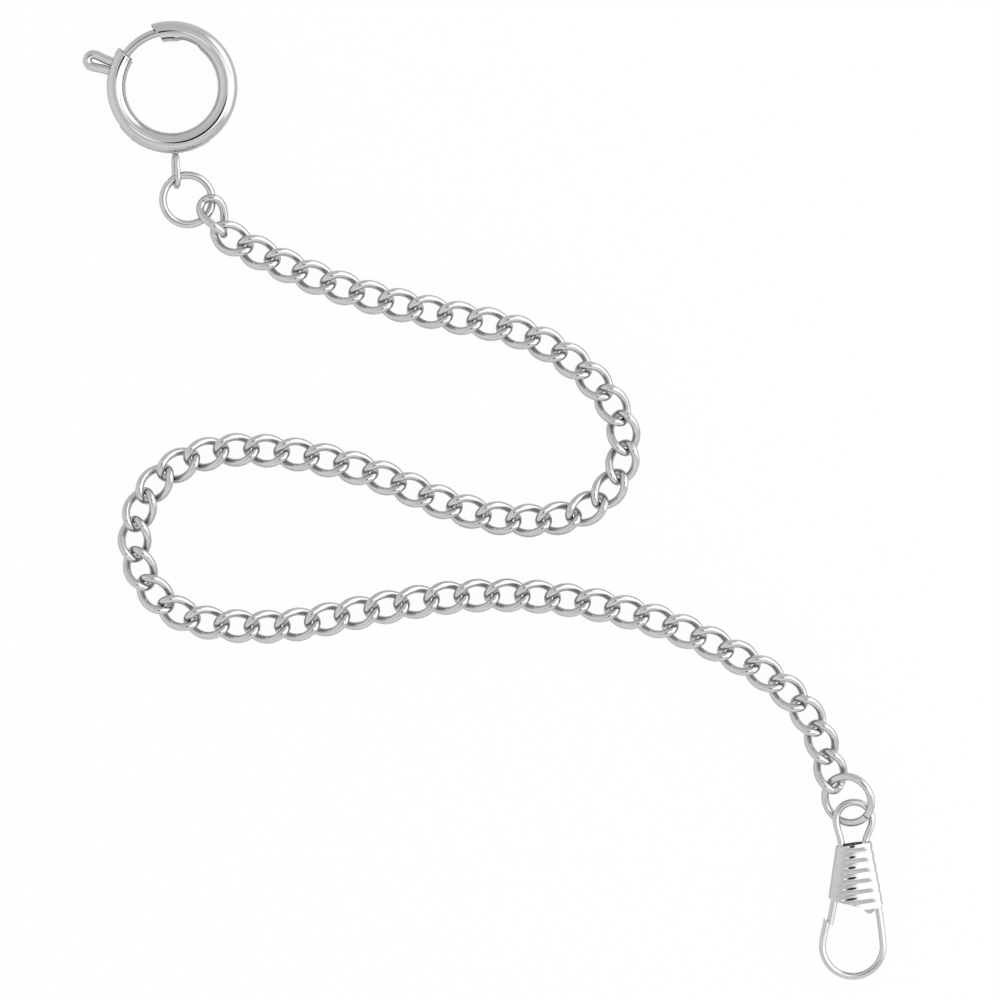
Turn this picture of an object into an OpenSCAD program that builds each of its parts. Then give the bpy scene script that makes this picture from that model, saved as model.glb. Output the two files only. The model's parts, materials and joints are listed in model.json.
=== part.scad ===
// Pocket watch chain: a curb chain with a spring ring for the watch at one end
// and a sprung wire clip for the pocket at the other. It lies flat about the
// plane z = 0, with the centre of the spring ring at the origin.

/* [Spring ring] */
// Radius of the curved centre line of the ring's tube
ring_r = 8.4; // [8.2:0.1:9.4]
// Outside diameter of the tube
tube_d = 2.95; // [2.8:0.05:3.5]
// Wall of the tube
tube_wall = 0.35; // [0.25:0.05:0.4]
// Opening between the ends of the tube, in degrees
gap_angle = 39; // [30:1:42]
// Diameter of the bolt that closes the gap
bolt_d = 1.3; // [1:0.05:1.4]
// Wire of the thumb loop that draws the bolt back
thumb_wire = 1.35; // [1:0.05:1.4]
// Length of the thumb loop outside the tube
thumb_reach = 4.1; // [3:0.1:6]

/* [Ring eye] */
// Length of the eye outside the tube
eye_len = 5.5; // [5:0.1:7]
// Width of the eye
eye_w = 3.5; // [3.4:0.1:4]
// Wire of the eye
eye_wire = 0.8; // [0.6:0.05:0.85]

/* [Jump rings] */
// Radius of the centre line of the jump ring at the watch end
jump_r = 3.65; // [3.6:0.05:4]
// Wire of both jump rings
jump_wire = 1.15; // [0.9:0.05:1.2]
// Radius of the centre line of the jump ring at the clip end
clip_jump_r = 3.6; // [3.5:0.05:4]

/* [Chain] */
// Distance from one link to the next
pitch = 4.55; // [4.4:0.05:5]
// Wire of the links
link_wire = 1.2; // [1:0.05:1.3]
// Room beside two neighbours' wires inside a link
link_room = 0.3; // [0.2:0.05:0.8]
// Twist from the middle of a link to each end, in degrees
link_twist = 50; // [45:1:56]
// Play between two links that are pulled straight
link_play = 0.15; // [0.12:0.01:0.3]

/* [Clip] */
// Wire of the clip
clip_wire = 1.05; // [0.8:0.05:1.1]
// Radius of the centre line of the clip's eye
clip_eye_r = 2.7; // [2.6:0.05:3.2]
// Length of the ribbed sleeve
sleeve_len = 8.7; // [7.2:0.1:11]
// Width of the sleeve at the eye
sleeve_top_w = 5.4; // [5.3:0.1:6.5]
// Width of the sleeve at the hook
sleeve_low_w = 8.2; // [8:0.1:9]
// Thickness of the sleeve over its ribs
sleeve_t = 3; // [2.6:0.1:3.6]
// Sheet that the sleeve is pressed from
sleeve_wall = 0.2; // [0.15:0.01:0.25]
// Number of ribs
rib_count = 7; // [5:1:9]
// Radius of the centre line of the hook's bow
hook_r = 4.55; // [4.3:0.05:5.5]
// Distance from the foot of the sleeve to the centre of the bow
hook_drop = 6.6; // [6:0.1:9]
// Length of the gate below the sleeve
gate_reach = 3.2; // [2.8:0.1:4]

/* [Hidden] */
$fn = 64;
clear = 0.1;

// Angles around the ring, counter-clockwise from +X
gap_start = 106;
gap_end = gap_start + gap_angle;
collar_angle = 4;
thumb_angle = 161.5;
slider_half = 11;
bolt_travel = 44;
stop_angle = 260;
eye_angle = 273;
bore_r = tube_d / 2 - tube_wall;
slider_r = bore_r - clear;
tube_out_r = ring_r + tube_d / 2;
thumb_slit = 0.48;
thumb_half = (thumb_wire + thumb_slit) / 2;
slot_half = slider_half + 0.7;
thumb_seat = 0.35;

// Links: the centre line is a blunt oval whose plane twists along its length
link_half = (pitch + link_wire + link_play) / 2;
link_side = (3 * link_wire + link_room) / 2;
link_blunt = 0.88;
LINK_RINGS = 18;
LINK_SIDES = 8;

// The watch-end jump ring hangs in the eye, and the first link stands half on
// its side in the ring. Each hang is the direction towards the next piece, and
// a nest is the share of two crossing wires by which one lies inside the other
jump_hang = -51;
first_link_hang = -31.6;
first_link_nest = 0.735;
function polar(r, a) = r * [cos(a), sin(a)];
function lift(p, z) = [p[0], p[1], z];
eye_tip = polar(tube_out_r + eye_len - eye_wire / 2, eye_angle);
jump_xy = eye_tip + polar(jump_r - (jump_wire + eye_wire) / 2 - clear, jump_hang);
jump_at = lift(jump_xy, -0.25);
jump_tilt = [1, 8, 0];
jump_split = 140;
first_link_away = jump_r + link_half - first_link_nest * (jump_wire + link_wire);
first_link_xy = jump_xy + polar(first_link_away, first_link_hang);
first_link_at = lift(first_link_xy, 0.5);
first_link_heading = -64;
first_link_roll = -45;

// The chain's lay: [number of joints, degrees turned at each one], from the
// second link to the last
LAY = [
    [7, 2.5], [2, 0], [3, -8.5], [2, -10], [4, -23.5], [1, -20.5], [3, -8.5], [2, -4],
    [5, 4], [1, 6.5], [2, 13.5], [6, 20.5], [1, 19], [4, 5.5], [3, -1], [11, -3.5],
    [2, -6.5], [2, -14], [1, -6]
];
lay_start = first_link_xy + polar(link_half, first_link_heading) + link_wire * [-0.7, 0.38];
lay_heading = -29;
TURNS = [for (run = LAY) for (i = [1:run[0]]) run[1]];
link_count = len(TURNS) + 2;
HEADINGS = [
    for (i = 0, h = lay_heading; i <= len(TURNS); h = h + (i < len(TURNS) ? TURNS[i] : 0), i = i + 1) h
];
function step_along(i) = i < len(HEADINGS) ? polar(pitch, HEADINGS[i]) : [0, 0];
CROSSINGS = [
    for (i = 0, p = lay_start; i <= len(HEADINGS); p = p + step_along(i), i = i + 1) p
];
lay_end = CROSSINGS[len(HEADINGS)];

// Links that lie nearly in line share a node two by two: [first, last]
PAIR_RUNS = [[4, 9], [24, 31], [44, 59]];
function place_in_pair(i) = [for (r = PAIR_RUNS) if (i >= r[0] && i <= r[1]) (i - r[0]) % 2];
function starts_pair(i) = place_in_pair(i) == [0];
function ends_pair(i) = place_in_pair(i) == [1];
function two_digits(i) = str(i < 10 ? "0" : "", i);
function link_name(i) = str("link_", two_digits(i), starts_pair(i) ? str("_", two_digits(i + 1)) : "");
LINK_STARTS = [for (i = [1:link_count]) if (!ends_pair(i)) i];

// Clip, in its own frame: the centre of its eye at the origin, the hook down -Y
clip_jump_hang = -45;
clip_jump_nest = 0.64;
clip_hang = -73;
clip_nest = 1.37;
clip_jump_xy = lay_end + polar(clip_jump_r - clip_jump_nest * link_wire, clip_jump_hang);
clip_jump_at = lift(clip_jump_xy, 0.35);
clip_jump_tilt = [14, -25, 0];
clip_jump_split = 318;
clip_away = clip_jump_r + clip_eye_r - clip_nest * (jump_wire + clip_wire);
clip_xy = clip_jump_xy + polar(clip_away, clip_hang);
clip_at = lift(clip_xy, 0);
eye_to_sleeve = 0.9;
sleeve_top = -eye_to_sleeve - clip_eye_r;
sleeve_foot = sleeve_top - sleeve_len;
sleeve_top_x = -0.05;
sleeve_low_x = 0.25;
rib_depth = 0.22;
rib_side = 0.3;
rib_tilt = 7;
foot_tilt = -5;
leg_in = clip_wire / 2 + sleeve_wall + rib_side * rib_depth + clear / 2;
leg_slack = 0.15;
left_top_x = sleeve_top_x - sleeve_top_w / 2 + leg_in;
right_top_x = sleeve_top_x + sleeve_top_w / 2 - leg_in - leg_slack;
gate_low_x = sleeve_low_x - sleeve_low_w / 2 + leg_in;
right_low_x = sleeve_low_x + sleeve_low_w / 2 - leg_in;
gate_top = sleeve_top - 0.35 * sleeve_len;
gate_top_x = left_top_x + 0.3 * (gate_low_x - left_top_x);
gate_lean = 0.19;
gate_end = [gate_low_x - gate_lean * gate_reach, sleeve_foot - gate_reach];
bow_at = [-0.18, sleeve_foot - hook_drop];
hook_end = gate_end + [-0.46, 0.36];
cut_slope = 1;

// A round wire swept along points; flat wires keep their sides square to +Z
function unit(v) = v / norm(v);
function tangent(p, i, closed) =
    let (n = len(p))
    closed ? unit(p[(i + 1) % n] - p[(i + n - 1) % n])
           : unit(p[min(i + 1, n - 1)] - p[max(i - 1, 0)]);
function across(ref, t) = unit(ref - (ref * t) * t);

module sweep(points, refs, r, sides, closed = false, start_cut = 0, end_cut = 0) {
    n = len(points);
    rings = [
        for (i = [0:n - 1])
            let (t = tangent(points, i, closed), a = across(refs[i], t), b = cross(t, a))
            let (cut = closed ? 0 : i == 0 ? start_cut : i == n - 1 ? end_cut : 0)
            for (k = [0:sides - 1])
                let (c = r * cos((k + 0.5) * 360 / sides), s = r * sin((k + 0.5) * 360 / sides))
                points[i] + c * a + s * b + cut * c * t
    ];
    last = closed ? n - 1 : n - 2;
    skin = [
        for (i = [0:last]) for (k = [0:sides - 1])
            let (j = (i + 1) % n, m = (k + 1) % sides)
            each [
                [i * sides + k, j * sides + m, i * sides + m],
                [i * sides + k, j * sides + k, j * sides + m]
            ]
    ];
    ends = closed ? [] : [
        [for (k = [0:sides - 1]) k],
        [for (k = [sides - 1:-1:0]) (n - 1) * sides + k]
    ];
    polyhedron(points = rings, faces = concat(skin, ends), convexity = 6);
}

module flat_wire(points, d, start_cut = 0, end_cut = 0) {
    lifted = [for (p = points) [p[0], p[1], 0]];
    sides_to = [for (i = [0:len(points) - 1]) cross([0, 0, 1], tangent(lifted, i, false))];
    sweep(lifted, sides_to, d / 2, 10, false, start_cut, end_cut);
}

function arc(at, r, from, to, steps) =
    [for (i = [0:steps]) at + polar(r, from + (to - from) * i / steps)];

module ring_arc(r, from, to) {
    rotate([0, 0, from])
        rotate_extrude(angle = to - from)
            translate([ring_r, 0])
                circle(r = r);
}

module at_ring_angle(a) {
    rotate([0, 0, a]) children();
}

// Hollow tube of the spring ring, with a slot for the thumb loop in its rim
module ring_tube() {
    color("silver")
    difference() {
        ring_arc(tube_d / 2, gap_end, gap_start + 360);
        ring_arc(bolt_d / 2 + clear, gap_end - 2, gap_start + 362);
        ring_arc(bore_r, gap_end + collar_angle, gap_start + 360 - 2 * collar_angle);
        rotate([0, 0, thumb_angle - slot_half])
            rotate_extrude(angle = 2 * slot_half + bolt_travel + 1)
                translate([ring_r + thumb_seat - clear / 2, -thumb_wire / 2 - clear])
                    square([tube_d, thumb_wire + 2 * clear]);
        at_ring_angle(eye_angle)
            translate([ring_r, 0, 0])
                rotate([0, 90, 0])
                    cylinder(d = eye_wire + 2 * clear, h = tube_d);
    }
}

// Bolt: a thin curved rod ahead of a fatter slider
module ring_bolt() {
    color("gainsboro")
    difference() {
        union() {
            ring_arc(bolt_d / 2, gap_start - collar_angle, thumb_angle - slider_half + 0.5);
            ring_arc(slider_r, thumb_angle - slider_half, thumb_angle + slider_half);
        }
        thumb_shape(clear / 2);
    }
}

// Thumb loop: a bent wire standing out of the slot, seated in the slider
module thumb_shape(grow) {
    tip_r = tube_out_r + thumb_reach - thumb_half - thumb_wire / 2;
    seat_r = ring_r + thumb_seat;
    wire_r = thumb_wire / 2 + grow;
    at_ring_angle(thumb_angle) {
        for (side = [-1, 1])
            translate([seat_r - grow, side * thumb_half, 0])
                rotate([0, 90, 0])
                    cylinder(r = wire_r, h = tip_r - seat_r + 2 * grow);
        translate([tip_r, 0, 0])
            rotate([0, 0, -90])
                rotate_extrude(angle = 180)
                    translate([thumb_half, 0])
                        circle(r = wire_r);
    }
}

module thumb_loop() {
    color("silver") thumb_shape(0);
}

// Coil spring bent round the tube between the slider and the stop
module bolt_spring() {
    spring_wire = 0.25;
    coil_r = bore_r - clear - spring_wire / 2;
    turns = 16;
    per_turn = 9;
    from = thumb_angle + slider_half + 1.2;
    to = stop_angle - 3.4;
    n = turns * per_turn;
    line = [
        for (i = [0:n])
            let (a = from + (to - from) * i / n, w = 360 * i / per_turn)
            let (r = ring_r + coil_r * cos(w))
            [r * cos(a), r * sin(a), coil_r * sin(w)]
    ];
    middle = [
        for (i = [0:n])
            let (a = from + (to - from) * i / n)
            [ring_r * cos(a), ring_r * sin(a), 0]
    ];
    outward = [for (i = [0:n]) line[i] - middle[i]];
    color("lightsteelblue") sweep(line, outward, spring_wire / 2, 5);
}

module spring_stop() {
    color("dimgray") ring_arc(bore_r - clear / 2, stop_angle - 2, stop_angle + 2);
}

// Swivel eye: an oval loop on a headed pin that turns in the tube's wall
module ring_eye() {
    loop_r = (eye_w - eye_wire) / 2;
    first = tube_out_r + eye_wire / 2 + loop_r;
    last = tube_out_r + eye_len - eye_wire / 2 - loop_r;
    head_t = 0.4;
    head_r = 0.75;
    wall_in = ring_r + sqrt(bore_r * bore_r - head_r * head_r) - clear;
    color("silver")
    at_ring_angle(eye_angle) {
        rotate([75, 0, 0]) {
            for (end = [[first, 90], [last, -90]])
                translate([end[0], 0, 0])
                    rotate([0, 0, end[1]])
                        rotate_extrude(angle = 180)
                            translate([loop_r, 0])
                                circle(d = eye_wire);
            for (side = [-1, 1])
                translate([first, side * loop_r, 0])
                    rotate([0, 90, 0])
                        cylinder(d = eye_wire, h = last - first);
        }
        translate([wall_in - head_t, 0, 0])
            rotate([0, 90, 0])
                cylinder(r = head_r, h = head_t);
        translate([wall_in - head_t / 2, 0, 0])
            rotate([0, 90, 0])
                cylinder(d = eye_wire, h = tube_out_r + eye_wire / 2 - wall_in + head_t / 2);
    }
}

module jump_ring(at, tilt, r, split) {
    cut = 1;
    translate(at)
        rotate(tilt)
            rotate([0, 0, split + cut / 2])
                rotate_extrude(angle = 360 - cut)
                    translate([r, 0])
                        circle(d = jump_wire);
}

module jump_ring_watch() {
    color("silver") jump_ring(jump_at, jump_tilt, jump_r, jump_split);
}

module jump_ring_clip() {
    color("silver") jump_ring(clip_jump_at, clip_jump_tilt, clip_jump_r, clip_jump_split);
}

// One curb link about its own centre, its length along +X
function blunt(v) = sign(v) * pow(abs(v), link_blunt);
function link_point(t) =
    let (u = link_half * blunt(cos(t)), w = link_side * blunt(sin(t)))
    let (turn = -link_twist * u / link_half)
    [u, w * cos(turn), w * sin(turn)];

module curb_link() {
    line = [for (i = [0:LINK_RINGS - 1]) link_point(360 * i / LINK_RINGS)];
    color("silver") sweep(line, line, link_wire / 2, LINK_SIDES, true);
}

module placed_link(i) {
    if (i == 1) {
        translate(first_link_at)
            rotate([0, 0, first_link_heading])
                rotate([first_link_roll, 0, 0])
                    curb_link();
    } else {
        middle = (CROSSINGS[i - 2] + CROSSINGS[i - 1]) / 2;
        translate([middle[0], middle[1], 0])
            rotate([0, 0, HEADINGS[i - 2]])
                curb_link();
    }
}

module link_group(i) {
    placed_link(i);
    if (starts_pair(i)) placed_link(i + 1);
}

// Clip wire: eye, stub in the sleeve, long leg, and the hook's bow
module clip_wire_body() {
    eye = arc([0, 0], clip_eye_r, 180, 0, 20);
    bow = arc(bow_at, hook_r, 8, -193, 28);
    stub = [[gate_top_x - 0.02, gate_top + 0.3], [left_top_x, sleeve_top - 0.3]];
    leg = [[right_top_x, sleeve_top - 0.3], [right_low_x, sleeve_foot - 0.4]];
    color("silver")
        translate(clip_at)
            flat_wire(concat(stub, eye, leg, bow, [hook_end]), clip_wire, 0, cut_slope);
}

// Sprung leg that closes the hook, from inside the sleeve to the cut end
module clip_gate() {
    line = [[gate_top_x, gate_top], [gate_low_x, sleeve_foot], gate_end];
    color("gainsboro")
        translate(clip_at)
            flat_wire(line, clip_wire, 0, cut_slope);
}

// Ribbed sleeve: rings of rounded-slot outline, tilted and wider towards the foot.
// dip is how far a ring lies below the ribs' crests, less so at the sides
sleeve_square = 0.6;
function squared(v) = sign(v) * pow(abs(v), sleeve_square);
function sleeve_ring(s, dip, wall, count) =
    let (x0 = sleeve_top_x + (sleeve_low_x - sleeve_top_x) * s)
    let (hw = (sleeve_top_w + (sleeve_low_w - sleeve_top_w) * s) / 2 - wall - rib_side * dip)
    let (ht = sleeve_t / 2 - wall - dip)
    let (tilt = s > 0.93 ? foot_tilt : rib_tilt)
    [
        for (k = [0:count - 1])
            let (a = 360 * k / count, c = cos(a), q = sin(a))
            let (x = x0 + hw * squared(c))
            [x, sleeve_top - sleeve_len * s + (x - x0) * tan(tilt), ht * squared(q)]
    ];

module clip_sleeve() {
    around = 24;
    per_rib = 4;
    rows = rib_count * per_rib;
    outside = [
        for (i = [0:rows])
            let (dip = rib_depth * (1 - abs(sin(180 * i / per_rib))))
            each sleeve_ring(i / rows, dip, 0, around)
    ];
    inside = [
        for (i = [rib_count:-1:0]) each sleeve_ring(i / rib_count, rib_depth, sleeve_wall, around)
    ];
    count = rows + rib_count + 2;
    faces = [
        for (i = [0:count - 1]) for (k = [0:around - 1])
            let (j = (i + 1) % count, m = (k + 1) % around)
            each [
                [i * around + k, j * around + m, i * around + m],
                [i * around + k, j * around + k, j * around + m]
            ]
    ];
    color("lightgray")
        translate(clip_at)
            polyhedron(points = concat(outside, inside), faces = faces, convexity = 8);
}

ring_tube();
ring_bolt();
thumb_loop();
bolt_spring();
spring_stop();
ring_eye();
jump_ring_watch();
for (i = LINK_STARTS) link_group(i);
jump_ring_clip();
clip_wire_body();
clip_sleeve();
clip_gate();
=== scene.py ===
"""A pocket watch chain: spring ring, curb chain and wire clip in polished steel."""

import json
import math

import bpy
import bmesh
import numpy as np
from mathutils import Matrix, Vector


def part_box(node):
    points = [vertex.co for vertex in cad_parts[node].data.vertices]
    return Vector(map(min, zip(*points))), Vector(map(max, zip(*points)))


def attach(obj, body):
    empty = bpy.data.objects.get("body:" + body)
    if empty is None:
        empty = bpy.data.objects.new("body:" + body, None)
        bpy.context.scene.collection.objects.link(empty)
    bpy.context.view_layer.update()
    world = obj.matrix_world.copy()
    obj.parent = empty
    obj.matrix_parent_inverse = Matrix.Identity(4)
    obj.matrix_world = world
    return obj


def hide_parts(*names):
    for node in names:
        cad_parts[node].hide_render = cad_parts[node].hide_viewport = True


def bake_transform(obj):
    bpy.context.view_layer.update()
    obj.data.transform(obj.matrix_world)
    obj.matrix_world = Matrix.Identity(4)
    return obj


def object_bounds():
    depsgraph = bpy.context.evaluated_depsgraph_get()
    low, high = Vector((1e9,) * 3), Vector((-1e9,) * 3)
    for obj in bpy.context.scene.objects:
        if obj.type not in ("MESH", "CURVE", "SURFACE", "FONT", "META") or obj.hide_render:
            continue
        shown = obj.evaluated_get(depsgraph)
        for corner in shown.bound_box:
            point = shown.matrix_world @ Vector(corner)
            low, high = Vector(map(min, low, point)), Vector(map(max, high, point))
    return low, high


MM = 0.001

# Spring ring
RING_R = 8.4 * MM
TUBE_R = 1.475 * MM
SHEET = 0.35 * MM
TUBE_END_1 = 105.2
TUBE_END_2 = 145.4
END_SLANT_1 = 19.5
END_SLANT_2 = -11.4
COLLAR = 4.0
BOLT_R = 0.65 * MM
SLIDER_R = 1.0 * MM
SLOT = (149.8, 217.5)
SLOT_HALF = 31.0
SEAM = 142.5
SEAM_HALF = 3.6
FLAT = (50.0, 60.0, 75.0, 85.0)
FLAT_DEPTH = 0.34 * MM
LIP_DEPTH = 0.1 * MM
BELT = (232.0, 305.0)
BELT_HALF = 50.0
BELT_RISE = 0.1 * MM
THUMB_ANGLE = 161.5
THUMB_WIRE = 1.35 * MM
THUMB_TIP = 13.97 * MM
SLIDER_HALF = 11.0
SPRING_ARC = (173.7, 256.6)
SPRING_TURNS = 16
SPRING_WIRE = 0.25 * MM
COIL_R = 0.9 * MM

# Eye and jump rings
EYE_ANGLE = 273.0
EYE_WIRE = 0.8 * MM
EYE_LEN = 5.5 * MM
EYE_W = 3.5 * MM
EYE_TURN = 75.0
JUMP_WIRE = 1.15 * MM

# Curb links
LINK_WIRE = 1.2 * MM
LINK_HALF = 2.95 * MM
LINK_SIDE = 1.95 * MM
LINK_TWIST = 50.0
LINK_BLUNT = 0.88

# Clip
CLIP_WIRE = 1.05 * MM
CLIP_EYE_R = 2.7 * MM
SLEEVE_TOP = -3.6 * MM
SLEEVE_LEN = 8.7 * MM
SLEEVE_TOP_W = 5.4 * MM
SLEEVE_LOW_W = 8.2 * MM
SLEEVE_T = 3.0 * MM
SLEEVE_SHEET = 0.2 * MM
SLEEVE_SLIT = 0.16 * MM
SLEEVE_SPINE = (0.25 * MM, 0.7 * MM)
SLEEVE_FOOT = [
    (-3.87, -11.6), (-3.3, -12.05), (0.8, -12.95),
    (2.25, -14.1), (2.9, -13.55), (4.4, -12.5),
]
RIB_STEP = 1.575 * MM
RIB_DEPTH = 0.17 * MM
RIB_TILT = 8.0
FIRST_RIB = 0.38 * MM
SLEEVE_SQUARE = 1.9
HOOK_R = 4.55 * MM
GATE_REACH = (-0.61, -3.2, 0)
HOOK_OVERLAP = (-0.46, 0.36, 0)
HOOK_CUT = (0.8, 1.0, 0)

# Studio
MIDDLE = (49.25 * MM, -61.98 * MM)
VIEW_WIDTH = 0.15
CAMERA_UP = 0.56
LENS_R = 0.112
CARD = (-0.10, 0.80, -0.28, 0.27)
CARD_FADE_X = 0.36
CARD_FADE_Y = 0.08
TENT = 0.86
NEAR_SIDE = 1.2
LEFT_SIDE = 1.12
SOFT_BOX = 2.0
LENS_DARK = 0.02
LAMP = 2.2
LAMP_R = 0.4 * LENS_R
LAMP_ASIDE = 1.5 * LENS_R
LIGHT_GAP = 0.004
FLOOR_SEEN = 0.95
FLOOR_MIRRORED = 0.2

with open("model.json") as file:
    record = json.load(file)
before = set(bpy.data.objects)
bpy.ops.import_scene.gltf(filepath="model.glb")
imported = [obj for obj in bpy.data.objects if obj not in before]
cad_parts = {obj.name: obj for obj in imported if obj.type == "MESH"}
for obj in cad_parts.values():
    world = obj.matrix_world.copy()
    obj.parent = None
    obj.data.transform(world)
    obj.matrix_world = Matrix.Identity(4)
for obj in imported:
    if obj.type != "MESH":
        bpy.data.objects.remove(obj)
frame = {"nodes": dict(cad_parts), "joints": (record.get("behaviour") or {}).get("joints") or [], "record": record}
CAD_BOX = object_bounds()
JOINTS = {j["name"]: j for j in frame["joints"]}
NODES = frame["nodes"]
BODY_OF = {n: b for b, group in frame["record"]["behaviour"]["bodies"].items() for n in group}
bpy.ops.object.select_all(action="DESELECT")


# ---------------------------------------------------------------- helpers

def polar(r, degrees, z=0.0):
    a = math.radians(degrees)
    return Vector((r * math.cos(a), r * math.sin(a), z))


def joint_at(name):
    return Vector(JOINTS[name]["pos_m"])


def signed_power(v, p):
    return math.copysign(abs(v) ** p, v)


def only(obj):
    """Selects that object alone."""
    bpy.ops.object.select_all(action="DESELECT")
    obj.select_set(True)
    bpy.context.view_layer.objects.active = obj
    return obj


def settle(obj, name):
    """Names the object and puts its place into its mesh."""
    only(obj)
    obj.name = name
    obj.data.name = name
    bpy.ops.object.transform_apply(location=True, rotation=True, scale=True)
    return obj


def pick_faces(obj, test):
    """In edit mode, selects only the faces whose centre passes the test."""
    bpy.ops.mesh.select_mode(type="FACE")
    bm = bmesh.from_edit_mesh(obj.data)
    for v in bm.verts:
        v.select = False
    for f in bm.faces:
        f.select_set(bool(test(f.calc_center_median())))
    bm.select_flush_mode()
    bmesh.update_edit_mesh(obj.data)


def shape_points(obj, move):
    """Moves every vertex of the mesh by a rule."""
    for v in obj.data.vertices:
        v.co = move(v.co)
    obj.data.update()


def finish_with(obj, kind, **settings):
    """Adds a modifier and applies it."""
    only(obj)
    m = obj.modifiers.new(kind.title(), kind)
    for k, v in settings.items():
        setattr(m, k, v)
    bpy.ops.object.modifier_apply(modifier=m.name)
    return obj


def face_outwards(obj):
    only(obj)
    bpy.ops.object.mode_set(mode="EDIT")
    bpy.ops.mesh.select_all(action="SELECT")
    bpy.ops.mesh.remove_doubles(threshold=0.002 * MM)
    bpy.ops.mesh.normals_make_consistent(inside=False)
    bpy.ops.object.mode_set(mode="OBJECT")
    return obj


def smooth(obj, angle=35):
    only(obj)
    bpy.ops.object.shade_smooth_by_angle(angle=math.radians(angle))
    return obj


def joined(name, *objs):
    bpy.ops.object.select_all(action="DESELECT")
    for o in objs:
        o.select_set(True)
    bpy.context.view_layer.objects.active = objs[0]
    bpy.ops.object.join()
    return settle(objs[0], name)


def bent_wire(name, line, thickness, closed=False, steps=4, around=10):
    """A round wire bent along a line of points."""
    bpy.ops.object.select_all(action="DESELECT")
    if closed:
        bpy.ops.curve.primitive_bezier_circle_add(enter_editmode=True)
        extra = len(line) // 4 - 1
    else:
        bpy.ops.curve.primitive_bezier_curve_add(enter_editmode=True)
        extra = len(line) - 2
    if extra:
        bpy.ops.curve.select_all(action="SELECT")
        bpy.ops.curve.subdivide(number_cuts=extra)
    bpy.ops.object.mode_set(mode="OBJECT")
    obj = bpy.context.active_object
    for point, place in zip(obj.data.splines[0].bezier_points, line, strict=True):
        point.handle_left_type = "AUTO"
        point.handle_right_type = "AUTO"
        point.co = place
    obj.data.dimensions = "3D"
    obj.data.resolution_u = steps
    obj.data.bevel_depth = thickness / 2
    obj.data.bevel_resolution = around
    obj.data.use_fill_caps = not closed
    only(obj)
    bpy.ops.object.convert(target="MESH")
    return smooth(face_outwards(settle(bpy.context.active_object, name)))


def arc_points(centre, r, start, end, count):
    return [centre + polar(r, start + (end - start) * i / (count - 1)) for i in range(count)]


# ---------------------------------------------------------------- materials

def new_group(name, inputs, outputs):
    g = bpy.data.node_groups.new(name, "ShaderNodeTree")
    for n, value in inputs:
        g.interface.new_socket(n, in_out="INPUT", socket_type="NodeSocketFloat").default_value = value
    for n in outputs:
        g.interface.new_socket(n, in_out="OUTPUT", socket_type="NodeSocketFloat")
    return g, g.nodes.new("NodeGroupInput"), g.nodes.new("NodeGroupOutput")


def polish_marks():
    """Fine wheel marks and a faint haze, left by barrel polishing."""
    g, given, out = new_group(
        "polish_marks", [("Mark Scale", 900.0), ("Haze Scale", 160.0)], ["Marks", "Haze"]
    )
    link = g.links.new
    place = g.nodes.new("ShaderNodeTexCoord")
    stretch = g.nodes.new("ShaderNodeMapping")
    stretch.inputs["Scale"].default_value = (1.0, 5.0, 2.0)
    stretch.inputs["Rotation"].default_value = (0.3, 0.2, 0.6)
    link(place.outputs["Object"], stretch.inputs["Vector"])
    fine = g.nodes.new("ShaderNodeTexNoise")
    fine.inputs["Detail"].default_value = 3.0
    link(stretch.outputs["Vector"], fine.inputs["Vector"])
    link(given.outputs["Mark Scale"], fine.inputs["Scale"])
    link(fine.outputs["Fac"], out.inputs["Marks"])
    haze = g.nodes.new("ShaderNodeTexNoise")
    haze.inputs["Detail"].default_value = 2.0
    link(place.outputs["Object"], haze.inputs["Vector"])
    link(given.outputs["Haze Scale"], haze.inputs["Scale"])
    link(haze.outputs["Fac"], out.inputs["Haze"])
    return g


def polished(name, light, dark, gloss, dull, mark_scale, mark_depth, marks):
    """Bright metal: two close tones and two roughnesses, mixed by the haze."""
    m = bpy.data.materials.new(name)
    m.use_nodes = True
    nodes, link = m.node_tree.nodes, m.node_tree.links.new
    body = nodes["Principled BSDF"]
    body.inputs["Metallic"].default_value = 1.0
    body.inputs["Base Color"].default_value = (*light, 1)
    polish = nodes.new("ShaderNodeGroup")
    polish.node_tree = marks
    polish.inputs["Mark Scale"].default_value = mark_scale
    tone = nodes.new("ShaderNodeMix")
    tone.data_type = "RGBA"
    tone.inputs["A"].default_value = (*light, 1)
    tone.inputs["B"].default_value = (*dark, 1)
    link(polish.outputs["Haze"], tone.inputs["Factor"])
    link(tone.outputs["Result"], body.inputs["Base Color"])
    rough = nodes.new("ShaderNodeMapRange")
    rough.inputs["To Min"].default_value = gloss
    rough.inputs["To Max"].default_value = dull
    link(polish.outputs["Haze"], rough.inputs["Value"])
    link(rough.outputs["Result"], body.inputs["Roughness"])
    bump = nodes.new("ShaderNodeBump")
    bump.inputs["Strength"].default_value = 1.0
    bump.inputs["Distance"].default_value = mark_depth
    link(polish.outputs["Marks"], bump.inputs["Height"])
    link(bump.outputs["Normal"], body.inputs["Normal"])
    return m


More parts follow.
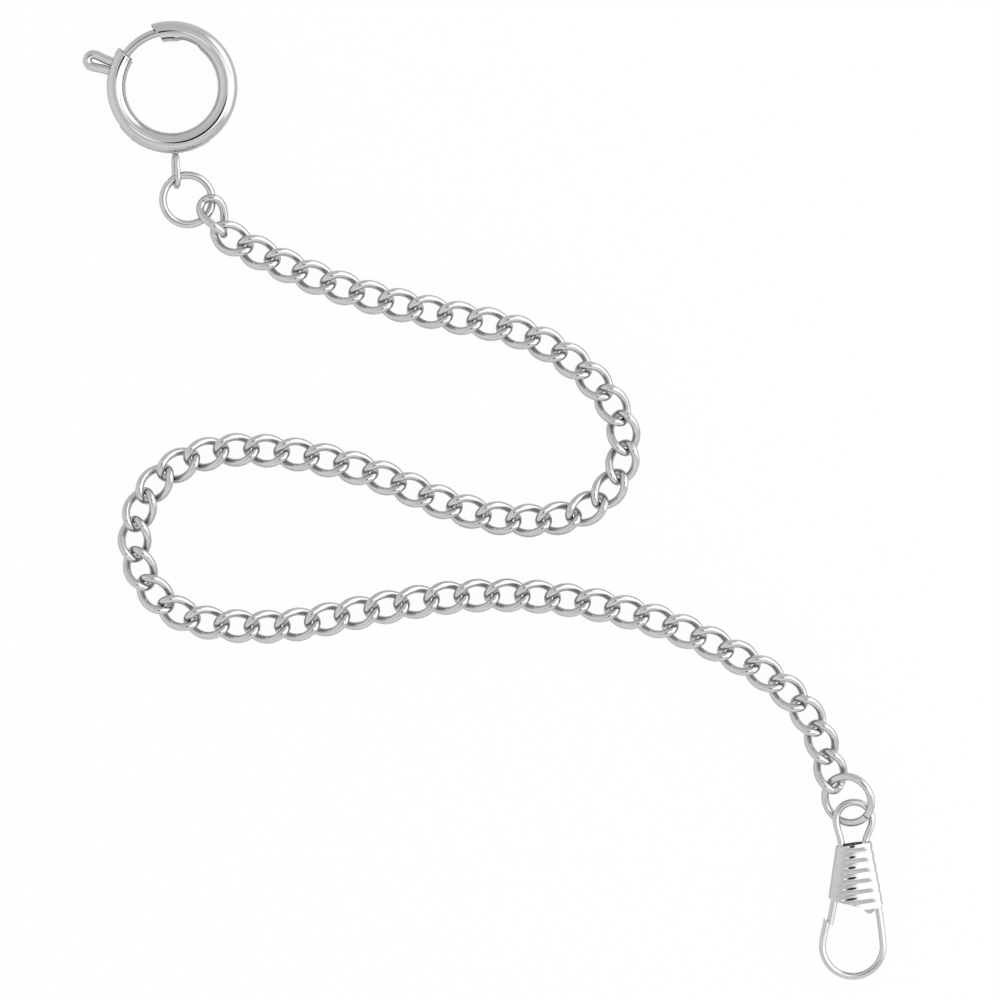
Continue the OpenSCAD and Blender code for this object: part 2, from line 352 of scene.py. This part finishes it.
MARKS = polish_marks()
STEEL = (0.54, 0.54, 0.545)
STEEL_SHADE = (0.49, 0.49, 0.497)
RING_METAL = polished("ring_steel", STEEL, STEEL_SHADE, 0.04, 0.09, 700, 0.0006 * MM, MARKS)
BOLT_METAL = polished("bolt_steel", STEEL, STEEL_SHADE, 0.04, 0.09, 1100, 0.0008 * MM, MARKS)
LINK_METAL = polished("link_steel", STEEL, STEEL_SHADE, 0.04, 0.09, 1400, 0.0006 * MM, MARKS)
JUMP_METAL = polished("jump_ring_steel", STEEL, STEEL_SHADE, 0.05, 0.1, 1200, 0.0006 * MM, MARKS)
CLIP_METAL = polished("clip_wire_steel", STEEL, STEEL_SHADE, 0.05, 0.11, 1200, 0.0008 * MM, MARKS)
SLEEVE_METAL = polished("sleeve_steel", STEEL, STEEL_SHADE, 0.07, 0.13, 900, 0.0010 * MM, MARKS)
# Painted shade: a dark steel colour, rougher than the polish, standing in for the shadow inside the rolled tube.
TUBE_INSIDE_PAINTED_SHADE = polished(
    "tube_inside_painted_shade", (0.2, 0.2, 0.2), (0.15, 0.15, 0.15), 0.3, 0.45, 700, 0.002 * MM, MARKS
)
SPRING_METAL = polished(
    "spring_wire", (0.5, 0.5, 0.52), (0.4, 0.4, 0.42), 0.25, 0.35, 900, 0.001 * MM, MARKS
)


def placed(obj, body, metal, slot, *nodes):
    """Gives a finished piece its metal and its body, and hides the CAD nodes it stands for."""
    obj.data.materials.clear()
    obj.data.materials.append(metal)
    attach(obj, body)
    if nodes:
        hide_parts(*nodes)
    return obj


# ---------------------------------------------------------------- spring ring

def tube_angles(p):
    """Degrees round the ring, and round the tube's section from its outer side."""
    a = math.degrees(math.atan2(p.y, p.x)) % 360
    section = math.degrees(math.atan2(p.z, math.hypot(p.x, p.y) - RING_R))
    return a, section


def cut_end(obj, angle, slant, keep_side):
    """Cuts the tube off at a slant, on one side of its gap."""
    pick_faces(obj, lambda c: abs(tube_angles(c)[0] - angle) < 14)
    outward = polar(1, angle + slant + keep_side * 90)
    bpy.ops.mesh.bisect(plane_co=polar(RING_R, angle), plane_no=outward, clear_outer=True)


def delete_faces(obj, test):
    pick_faces(obj, test)
    bpy.ops.mesh.delete(type="FACE")


def fade(value, start, end):
    """0 at the start, 1 at the end, smooth between."""
    t = min(1.0, max(0.0, (value - start) / (end - start)))
    return t * t * (3 - 2 * t)


def flattened(p):
    """The tube's inner side is pressed flat beside its gap, behind a small lip."""
    a, section = tube_angles(p)
    inner = max(0.0, -math.cos(math.radians(section))) ** 2
    flat = fade(a, FLAT[0], FLAT[1]) * (1 - fade(a, FLAT[2], FLAT[3]))
    lip = fade(a, FLAT[2], FLAT[3]) * (1 - fade(a, TUBE_END_1 + 10, TUBE_END_1 + 14))
    return p + polar(inner * (FLAT_DEPTH * flat - LIP_DEPTH * lip), a)


def ring_tube():
    """Rolled sheet tube: open at the gap, with its seam, thumb slot and lower band."""
    bpy.ops.mesh.primitive_torus_add(
        major_radius=RING_R, minor_radius=TUBE_R, major_segments=360, minor_segments=72
    )
    obj = bpy.context.active_object
    bpy.ops.object.mode_set(mode="EDIT")
    delete_faces(obj, lambda c: TUBE_END_1 + 12 < tube_angles(c)[0] < TUBE_END_2 - 12)
    cut_end(obj, TUBE_END_1, END_SLANT_1, 1)
    cut_end(obj, TUBE_END_2, END_SLANT_2, -1)
    bpy.ops.object.mode_set(mode="OBJECT")
    shape_points(obj, flattened)
    bpy.ops.object.mode_set(mode="EDIT")
    delete_faces(obj, lambda c: abs(tube_angles(c)[1] - SEAM) < SEAM_HALF)

    def in_slot(c):
        a, section = tube_angles(c)
        return SLOT[0] < a < SLOT[1] and abs(section) < SLOT_HALF

    delete_faces(obj, in_slot)

    def in_belt(c):
        a, section = tube_angles(c)
        return BELT[0] < a < BELT[1] and abs(section) < BELT_HALF

    pick_faces(obj, in_belt)
    bpy.ops.mesh.extrude_region_shrink_fatten(TRANSFORM_OT_shrink_fatten={"value": BELT_RISE})
    bpy.ops.object.mode_set(mode="OBJECT")
    finish_with(obj, "SOLIDIFY", thickness=SHEET, offset=-1, use_even_offset=True)
    finish_with(
        obj, "BEVEL", width=0.045 * MM, segments=2, limit_method="ANGLE", angle_limit=math.radians(40)
    )
    bpy.ops.mesh.primitive_cylinder_add(
        radius=0.62 * MM, depth=1.2 * MM, vertices=32, location=polar(RING_R + TUBE_R, EYE_ANGLE),
        rotation=(0, math.radians(90), math.radians(EYE_ANGLE)),
    )
    drill = bpy.context.active_object
    finish_with(obj, "BOOLEAN", object=drill, operation="DIFFERENCE", solver="EXACT")
    bpy.data.objects.remove(drill)
    collars = [collar(TUBE_END_1 - COLLAR - 4.5, 5.5), collar(TUBE_END_2 - 0.5, 5.5)]
    tube = joined("ring_tube_rolled", obj, *collars)
    placed(smooth(tube, 40), "spring_ring", RING_METAL, "ring_metal", "ring_tube")
    # The tube's inner wall and the collars take the dark colour: painted shade inside the tube.
    tube.data.materials.append(TUBE_INSIDE_PAINTED_SHADE)
    for f in tube.data.polygons:
        c = f.center
        depth = TUBE_R - math.hypot(math.hypot(c.x, c.y) - RING_R, c.z)
        f.material_index = int(depth > 0.7 * SHEET)
    return tube


def swept_section(name, outer, inner, start, sweep, steps):
    """A ring-shaped or full round section spun about the ring's middle."""
    bpy.ops.mesh.primitive_circle_add(
        vertices=40, radius=outer, fill_type="NGON", location=polar(RING_R, start),
        rotation=(math.radians(90), 0, math.radians(start)), enter_editmode=True,
    )
    obj = bpy.context.active_object
    if inner:
        bpy.ops.mesh.inset(thickness=outer - inner)
        bpy.ops.mesh.delete(type="FACE")
        bpy.ops.mesh.select_all(action="SELECT")
    bpy.ops.mesh.spin(steps=steps, angle=-math.radians(sweep), center=(0, 0, 0), axis=(0, 0, 1))
    bpy.ops.object.mode_set(mode="OBJECT")
    return face_outwards(settle(obj, name))


def collar(start, sweep):
    """Plug at the tube's end that guides the bolt."""
    return swept_section("collar", TUBE_R - SHEET + 0.03 * MM, BOLT_R + 0.1 * MM, start, sweep, 6)


def ring_bolt():
    """Thin curved nose with a rounded tip, and the fatter slider behind it."""
    first, shoulder = 101.5, THUMB_ANGLE - SLIDER_HALF
    nose = bent_wire("nose", arc_points(Vector(), RING_R, first, shoulder + 1, 16), 2 * BOLT_R)
    slider = bent_wire(
        "slider", arc_points(Vector(), RING_R, shoulder, THUMB_ANGLE + SLIDER_HALF, 10), 2 * SLIDER_R
    )
    bolt = joined("ring_bolt_and_slider", nose, slider)
    return placed(smooth(bolt), "bolt", BOLT_METAL, "bolt_metal", "ring_bolt")


def bolt_spring():
    """Coil spring behind the slider."""
    start, end = SPRING_ARC
    count = SPRING_TURNS * 8
    line = []
    for i in range(count + 1):
        spoke = polar(1, start + (end - start) * i / count)
        turn = math.radians(360 * i / 8)
        line.append(spoke * (RING_R + COIL_R * math.cos(turn)) + Vector((0, 0, COIL_R * math.sin(turn))))
    spring = bent_wire("bolt_spring_coil", line, SPRING_WIRE, steps=2, around=3)
    spring.data.materials.clear()
    spring.data.materials.append(SPRING_METAL)
    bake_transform(spring)
    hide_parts("bolt_spring")


def thumb_loop():
    """Hairpin of thick wire: its legs lie close at the tube and part towards the tip."""
    near, far = THUMB_WIRE / 2 + 0.03 * MM, THUMB_WIRE / 2 + 0.24 * MM
    root = RING_R + 0.35 * MM
    rim = RING_R + TUBE_R
    bend = THUMB_TIP - THUMB_WIRE / 2 - far
    side = [(root, near), (rim, near), (rim + 0.35 * (bend - rim), near + 0.04 * MM),
            (rim + 0.75 * (bend - rim), far - 0.04 * MM), (bend, far)]
    tip = []
    for a in range(30, 180, 30):
        tip.append((bend + far * math.sin(math.radians(a)), far * math.cos(math.radians(a))))
    flat = side + tip + [(x, -y) for x, y in reversed(side)]
    spun = Matrix.Rotation(math.radians(THUMB_ANGLE), 3, "Z")
    line = [spun @ Vector((x, y, 0)) for x, y in flat]
    loop = bent_wire("thumb_loop_hairpin", line, THUMB_WIRE, steps=8, around=12)
    return placed(loop, "bolt", RING_METAL, "ring_metal", "thumb_loop")


def ring_eye():
    """Swivel eye: an oval of wire on a ball-headed neck."""
    r = (EYE_W - EYE_WIRE) / 2
    rim = RING_R + TUBE_R
    first = rim + EYE_WIRE / 2 + r
    last = rim + EYE_LEN - EYE_WIRE / 2 - r
    oval = []
    for i in range(32):
        a = math.radians(360 * i / 32)
        middle = last if math.cos(a) > 0 else first
        oval.append(Vector((middle + r * math.cos(a), r * math.sin(a), 0)))
    lean = Matrix.Rotation(math.radians(EYE_ANGLE), 3, "Z") @ Matrix.Rotation(math.radians(EYE_TURN), 3, "X")
    loop = bent_wire("loop", [lean @ p for p in oval], EYE_WIRE, closed=True, steps=6)
    neck = bent_wire(
        "neck", [polar(d, EYE_ANGLE) for d in (rim - 0.6 * MM, rim - 0.2 * MM, rim + 0.5 * MM)], 0.72 * MM
    )
    bpy.ops.mesh.primitive_uv_sphere_add(
        segments=24, ring_count=16, radius=0.5 * MM, location=polar(rim - 0.05 * MM, EYE_ANGLE)
    )
    ball = bpy.context.active_object
    eye = joined("ring_eye_swivel", loop, neck, ball)
    return placed(smooth(eye), "eye", RING_METAL, "ring_metal", "ring_eye")


# ---------------------------------------------------------------- rings and links

def plane_of(points):
    """(centre, axes as columns, longest first) of a cloud of points."""
    centre = points.mean(axis=0)
    _, _, axes = np.linalg.svd(points - centre, full_matrices=False)
    if np.linalg.det(axes) < 0:
        axes[2] = -axes[2]
    return Vector(centre), Matrix(axes.tolist()).transposed()


def loose_parts(node):
    """The points of each separate solid in a CAD node."""
    bpy.ops.object.select_all(action="DESELECT")
    copy = NODES[node].copy()
    copy.data = copy.data.copy()
    copy.parent = None
    bpy.context.scene.collection.objects.link(copy)
    only(copy)
    bpy.ops.object.mode_set(mode="EDIT")
    bpy.ops.mesh.select_all(action="SELECT")
    bpy.ops.mesh.remove_doubles(threshold=0.001 * MM)
    bpy.ops.mesh.separate(type="LOOSE")
    bpy.ops.object.mode_set(mode="OBJECT")
    parts = list(bpy.context.selected_objects)
    clouds = [np.array([v.co for v in p.data.vertices]) for p in parts]
    for p in parts:
        bpy.data.objects.remove(p)
    return clouds


def link_line():
    """Centre line of one link: a blunt oval whose plane twists along its length."""
    line = []
    for i in range(48):
        a = math.radians(360 * i / 48)
        along = LINK_HALF * signed_power(math.cos(a), LINK_BLUNT)
        wide = LINK_SIDE * signed_power(math.sin(a), LINK_BLUNT)
        turn = -math.radians(LINK_TWIST) * along / LINK_HALF
        line.append(Vector((along, wide * math.cos(turn), wide * math.sin(turn))))
    return line


def curb_links():
    """One smooth link, copied to every link's place in the frame."""
    pattern = bent_wire("link_pattern", link_line(), LINK_WIRE, closed=True, steps=2, around=10)
    for node in [n for n in NODES if n.startswith("link_")]:
        numbers = node.split("_")[1:]
        clouds = loose_parts(node)
        start = joint_at(f"{node}_hinge")
        clouds.sort(key=lambda c: (Vector(c.mean(axis=0)) - start).length)
        for number, cloud in zip(numbers, clouds, strict=True):
            centre, axes = plane_of(cloud)
            link = pattern.copy()
            link.data = pattern.data.copy()
            bpy.context.scene.collection.objects.link(link)
            link.data.transform(Matrix.Translation(centre) @ axes.to_4x4())
            link.name = link.data.name = f"curb_link_{number}"
            placed(link, BODY_OF[node], LINK_METAL, "chain_metal", node)
    bpy.data.objects.remove(pattern)


def jump_ring(node, split, opening):
    """A round ring with a butted split."""
    cloud = loose_parts(node)[0]
    centre, axes = plane_of(cloud)
    away = cloud - np.array(centre)
    r = float(np.linalg.norm(away, axis=1).max()) - JUMP_WIRE / 2
    normal = axes.col[2] if axes.col[2].z > 0 else -axes.col[2]
    across = Vector((0, 1, 0)).cross(normal).normalized()
    up = normal.cross(across)
    line = []
    for i in range(41):
        a = math.radians(split + opening / 2 + (360 - opening) * i / 40)
        line.append(centre + r * (math.cos(a) * across + math.sin(a) * up))
    ring = bent_wire(f"{node}_butted", line, JUMP_WIRE, steps=4)
    finish_with(
        ring, "BEVEL", width=0.05 * MM, segments=2, limit_method="ANGLE", angle_limit=math.radians(50)
    )
    return placed(smooth(ring), BODY_OF[node], JUMP_METAL, "jump_ring_metal", node)


# ---------------------------------------------------------------- clip

def cut_square(obj, point, direction):
    """Cuts off what lies beyond a plane and closes the cut."""
    only(obj)
    bpy.ops.object.mode_set(mode="EDIT")
    bpy.ops.mesh.select_all(action="SELECT")
    bpy.ops.mesh.bisect(plane_co=point, plane_no=direction, use_fill=True, clear_outer=True)
    bpy.ops.object.mode_set(mode="OBJECT")


def cut_hook(obj, point, direction):
    """Cuts the hook's end slantwise, leaving the rest of the wire whole."""
    only(obj)
    bpy.ops.object.mode_set(mode="EDIT")
    pick_faces(obj, lambda c: (c - point).length < 3 * MM and (c - point).dot(Vector((-1, 0, 0))) > -1 * MM)
    bpy.ops.mesh.bisect(plane_co=point, plane_no=direction, use_fill=True, clear_outer=True)
    bpy.ops.object.mode_set(mode="OBJECT")


def clip_pieces():
    """Wire body with eye, leg and bow, and the sprung gate leg."""
    at = joint_at("clip_swing")
    at.z = 0
    foot = SLEEVE_TOP - SLEEVE_LEN
    gate_top = joint_at("gate_spring") - at
    lowest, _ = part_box("clip_wire_body")
    bow_at = Vector((-0.18 * MM, lowest.y - at.y + HOOK_R + CLIP_WIRE / 2, 0))
    inset = CLIP_WIRE / 2 + SLEEVE_SHEET + 0.116 * MM
    left_top = Vector((-0.05 * MM - SLEEVE_TOP_W / 2 + inset, SLEEVE_TOP, 0))
    right_top = Vector((-0.2 * MM + SLEEVE_TOP_W / 2 - inset, SLEEVE_TOP, 0))
    left_low = Vector((0.25 * MM - SLEEVE_LOW_W / 2 + inset, foot, 0))
    right_low = Vector((0.25 * MM + SLEEVE_LOW_W / 2 - inset, foot, 0))
    gate_end = left_low + Vector(GATE_REACH) * MM
    eye = arc_points(Vector(), CLIP_EYE_R, 190, -10, 15)
    bow = arc_points(bow_at, HOOK_R, 8, -180, 19)
    hook_end = gate_end + Vector(HOOK_OVERLAP) * MM
    beyond = hook_end + (hook_end - bow[-1]).normalized() * CLIP_WIRE
    line = [gate_top, left_top, *eye, right_top, right_low, *bow, hook_end, beyond]
    cut = Vector(HOOK_CUT).normalized()
    body = bent_wire("wire", [at + p for p in line], CLIP_WIRE, steps=6)
    cut_hook(body, at + hook_end, cut)
    body.name = body.data.name = "clip_wire_bent"
    placed(smooth(body), "clip", CLIP_METAL, "clip_wire_metal", "clip_wire_body")

    past = gate_end + (gate_end - left_low).normalized() * CLIP_WIRE
    gate_line = [gate_top, (gate_top + left_low) / 2, left_low, (left_low + gate_end) / 2, gate_end, past]
    gate = bent_wire(
        "clip_gate_leg",
        [at + p for p in gate_line],
        CLIP_WIRE, steps=6,
    )
    cut_square(gate, at + gate_end, -cut)
    placed(smooth(gate), "gate", CLIP_METAL, "clip_wire_metal", "clip_gate")


def clip_sleeve():
    """Sheet rolled round both legs, pressed flat and ribbed, with its corner left pointed."""
    around, along = 128, 130
    at = joint_at("clip_swing")
    at.z = 0
    foot_x, foot_y = np.array(SLEEVE_FOOT).T * MM
    rise = math.tan(math.radians(RIB_TILT))
    bpy.ops.mesh.primitive_grid_add(x_subdivisions=around, y_subdivisions=along, size=1)
    obj = bpy.context.active_object

    def edge(share, part):
        """Middle and half the width at a share of the length, and the place across."""
        half = (SLEEVE_TOP_W + (SLEEVE_LOW_W - SLEEVE_TOP_W) * share) / 2
        middle = (-0.05 + 0.3 * share) * MM
        return middle, half, middle + half * part

    def pressed(v):
        a = 2 * math.pi * (v.x + 0.5)
        s = 0.5 - v.y
        part = math.cos(a)
        round_off = (1 - abs(part) ** SLEEVE_SQUARE) ** (1 / SLEEVE_SQUARE)
        front = math.sin(a) > 0
        x_top, x_low = edge(0, part)[2], edge(1, part)[2]
        top = SLEEVE_TOP + x_top * rise + (0 if front else SLEEVE_SLIT * round_off)
        if front:
            low = float(np.interp(x_low, foot_x, foot_y))
        else:
            low = float(np.interp(x_low, (foot_x[0], foot_x[-1]), (foot_y[0], foot_y[-1])))
        y = top + (low - top) * s
        middle, half, x = edge(s, part)
        rib = abs(math.cos(math.pi * (SLEEVE_TOP - FIRST_RIB - y + x * rise) / RIB_STEP)) ** 0.9
        spine = fade(x - middle + half, *SLEEVE_SPINE)
        dip = RIB_DEPTH * (1 - rib) * spine
        x -= 0.8 * dip * max(0.0, part) ** 4
        z = math.copysign((SLEEVE_T / 2 - dip) * round_off, math.sin(a))
        return at + Vector((x, y, z))

    shape_points(obj, pressed)
    face_outwards(obj)
    if max(obj.data.polygons, key=lambda f: f.center.x).normal.x < 0:
        obj.data.flip_normals()
    finish_with(obj, "SOLIDIFY", thickness=SLEEVE_SHEET, offset=-1)
    sleeve = settle(obj, "clip_sleeve_pressed")
    return placed(smooth(sleeve, 60), "clip", SLEEVE_METAL, "sleeve_metal", "clip_sleeve")


# ---------------------------------------------------------------- studio

def camera():
    """Straight above the middle of the chain, square to it."""
    bpy.ops.object.camera_add(location=(*MIDDLE, CAMERA_UP), rotation=(0, 0, 0))
    cam = bpy.context.active_object
    cam.data.sensor_width = 36
    cam.data.lens = 36 * CAMERA_UP / VIEW_WIDTH
    cam.data.clip_start = 0.01
    bpy.context.scene.camera = cam


def sum_of(nodes, link, *terms):
    """Adds several (output, share) terms and returns the last output."""
    total = None
    for output, share in terms:
        part = nodes.new("ShaderNodeMath")
        part.operation = "MULTIPLY_ADD"
        part.inputs[1].default_value = share
        part.inputs[2].default_value = 0.0
        link(output, part.inputs[0])
        if total:
            link(total, part.inputs[2])
        total = part.outputs[0]
    return total


def floor():
    """Pale floor under the chain: white when seen, a little darker when mirrored, with faint shadows."""
    low, _ = CAD_BOX
    bpy.ops.mesh.primitive_plane_add(size=6, location=(*MIDDLE, low.z))
    obj = bpy.context.active_object
    obj.name = "studio_floor"
    m = bpy.data.materials.new("floor_white")
    m.use_nodes = True
    nodes, link = m.node_tree.nodes, m.node_tree.links.new
    paint = nodes["Principled BSDF"]
    paint.inputs["Base Color"].default_value = (0.8, 0.8, 0.8, 1)
    paint.inputs["Roughness"].default_value = 0.9
    glow = nodes.new("ShaderNodeEmission")
    glow.inputs["Strength"].default_value = 1.0
    ray = nodes.new("ShaderNodeLightPath")
    share = sum_of(
        nodes, link,
        (ray.outputs["Is Camera Ray"], FLOOR_SEEN),
        (ray.outputs["Is Glossy Ray"], FLOOR_MIRRORED),
        (ray.outputs["Is Transmission Ray"], FLOOR_MIRRORED),
    )
    mix = nodes.new("ShaderNodeMixShader")
    link(share, mix.inputs["Fac"])
    link(paint.outputs["BSDF"], mix.inputs[1])
    link(glow.outputs["Emission"], mix.inputs[2])
    link(mix.outputs["Shader"], nodes["Material Output"].inputs["Surface"])
    obj.data.materials.append(m)


def hung(obj, name, strength):
    """A glowing card over the chain. It lights the scene and shows in the metal, but not itself."""
    obj.name = name
    m = bpy.data.materials.new(name)
    m.use_nodes = True
    nodes, link = m.node_tree.nodes, m.node_tree.links.new
    glow = nodes.new("ShaderNodeEmission")
    glow.inputs["Strength"].default_value = strength
    link(glow.outputs["Emission"], nodes["Material Output"].inputs["Surface"])
    obj.data.materials.append(m)
    obj.visible_camera = False
    return nodes, link, glow


def overhead_card():
    """Soft box above the chain, reaching far to its right, with the lens looking through it."""
    left, right, low, high = CARD
    bpy.ops.mesh.primitive_plane_add(size=1, location=((left + right) / 2, (low + high) / 2, CAMERA_UP))
    obj = bpy.context.active_object
    obj.scale = (right - left, high - low, 1)
    bpy.ops.object.transform_apply(location=True, rotation=True, scale=True)
    nodes, link, glow = hung(obj, "overhead_card", 1.0)
    place = nodes.new("ShaderNodeTexCoord")
    apart = nodes.new("ShaderNodeSeparateXYZ")
    link(place.outputs["Object"], apart.inputs["Vector"])
    inside = None
    sides = [
        ("X", left, left + CARD_FADE_X),
        ("Y", low, low + CARD_FADE_Y),
        ("Y", high, high - CARD_FADE_Y),
    ]
    for axis, start, end in sides:
        ramp = nodes.new("ShaderNodeMapRange")
        ramp.interpolation_type = "SMOOTHSTEP"
        ramp.inputs["From Min"].default_value = start
        ramp.inputs["From Max"].default_value = end
        link(apart.outputs[axis], ramp.inputs["Value"])
        if inside is None:
            inside = ramp.outputs["Result"]
            continue
        both = nodes.new("ShaderNodeMath")
        both.operation = "MULTIPLY"
        link(inside, both.inputs[0])
        link(ramp.outputs["Result"], both.inputs[1])
        inside = both.outputs[0]
    level = nodes.new("ShaderNodeMapRange")
    level.inputs["To Min"].default_value = TENT
    level.inputs["To Max"].default_value = SOFT_BOX
    link(inside, level.inputs["Value"])
    link(level.outputs["Result"], glow.inputs["Strength"])


def lens():
    """The dark round lens and, beside it, a small bright lamp."""
    bpy.ops.mesh.primitive_circle_add(
        vertices=64, radius=LENS_R, fill_type="NGON", location=(*MIDDLE, CAMERA_UP - LIGHT_GAP)
    )
    hung(bpy.context.active_object, "lens_opening", LENS_DARK)
    bpy.ops.mesh.primitive_circle_add(
        vertices=32, radius=LAMP_R, fill_type="NGON",
        location=(MIDDLE[0] - LAMP_ASIDE, MIDDLE[1], CAMERA_UP - LIGHT_GAP),
    )
    hung(bpy.context.active_object, "small_lamp", LAMP)


def light_tent():
    """World: a pale tent, brighter on its right and a little on its left and near side."""
    world = bpy.data.worlds.new("light_tent")
    bpy.context.scene.world = world
    world.use_nodes = True
    nodes, link = world.node_tree.nodes, world.node_tree.links.new
    tent = nodes["Background"]
    place = nodes.new("ShaderNodeTexCoord")
    towards = nodes.new("ShaderNodeVectorMath")
    towards.operation = "NORMALIZE"
    link(place.outputs["Generated"], towards.inputs[0])

    def facing(direction, start, end):
        """1 where the tent lies within an angle of a direction, fading to 0."""
        dot = nodes.new("ShaderNodeVectorMath")
        dot.operation = "DOT_PRODUCT"
        dot.inputs[1].default_value = Vector(direction).normalized()
        link(towards.outputs["Vector"], dot.inputs[0])
        ramp = nodes.new("ShaderNodeMapRange")
        ramp.interpolation_type = "SMOOTHSTEP"
        ramp.inputs["From Min"].default_value = math.cos(math.radians(end))
        ramp.inputs["From Max"].default_value = math.cos(math.radians(start))
        link(dot.outputs["Value"], ramp.inputs["Value"])
        return ramp.outputs["Result"]

    def blended(under, over, factor):
        mix = nodes.new("ShaderNodeMix")
        mix.data_type = "RGBA"
        if isinstance(under, float):
            mix.inputs["A"].default_value = (under, under, under, 1)
        else:
            link(under, mix.inputs["A"])
        mix.inputs["B"].default_value = (over, over, over, 1)
        link(factor, mix.inputs["Factor"])
        return mix.outputs["Result"]

    cloth = blended(TENT, NEAR_SIDE, facing((0, -1, 0.2), 15, 65))
    cloth = blended(cloth, LEFT_SIDE, facing((-1, 0, 0.3), 15, 60))
    cloth = blended(cloth, SOFT_BOX, facing((1, 0.3, 0.3), 34, 48))
    link(cloth, tent.inputs["Color"])
    seen = nodes.new("ShaderNodeBackground")
    seen.inputs["Color"].default_value = (1, 1, 1, 1)
    ray = nodes.new("ShaderNodeLightPath")
    mix = nodes.new("ShaderNodeMixShader")
    link(ray.outputs["Is Camera Ray"], mix.inputs["Fac"])
    link(tent.outputs["Background"], mix.inputs[1])
    link(seen.outputs["Background"], mix.inputs[2])
    link(mix.outputs["Shader"], nodes["World Output"].inputs["Surface"])


camera()
floor()
overhead_card()
lens()
light_tent()
bpy.context.scene.view_settings.view_transform = "Standard"

ring_tube()
ring_bolt()
bolt_spring()
thumb_loop()
ring_eye()
jump_ring("jump_ring_watch", 137, 1.0)
curb_links()
jump_ring("jump_ring_clip", 318, 2.4)
clip_pieces()
clip_sleeve()
NODES["spring_stop"].data.materials.clear()
NODES["spring_stop"].data.materials.append(BOLT_METAL)
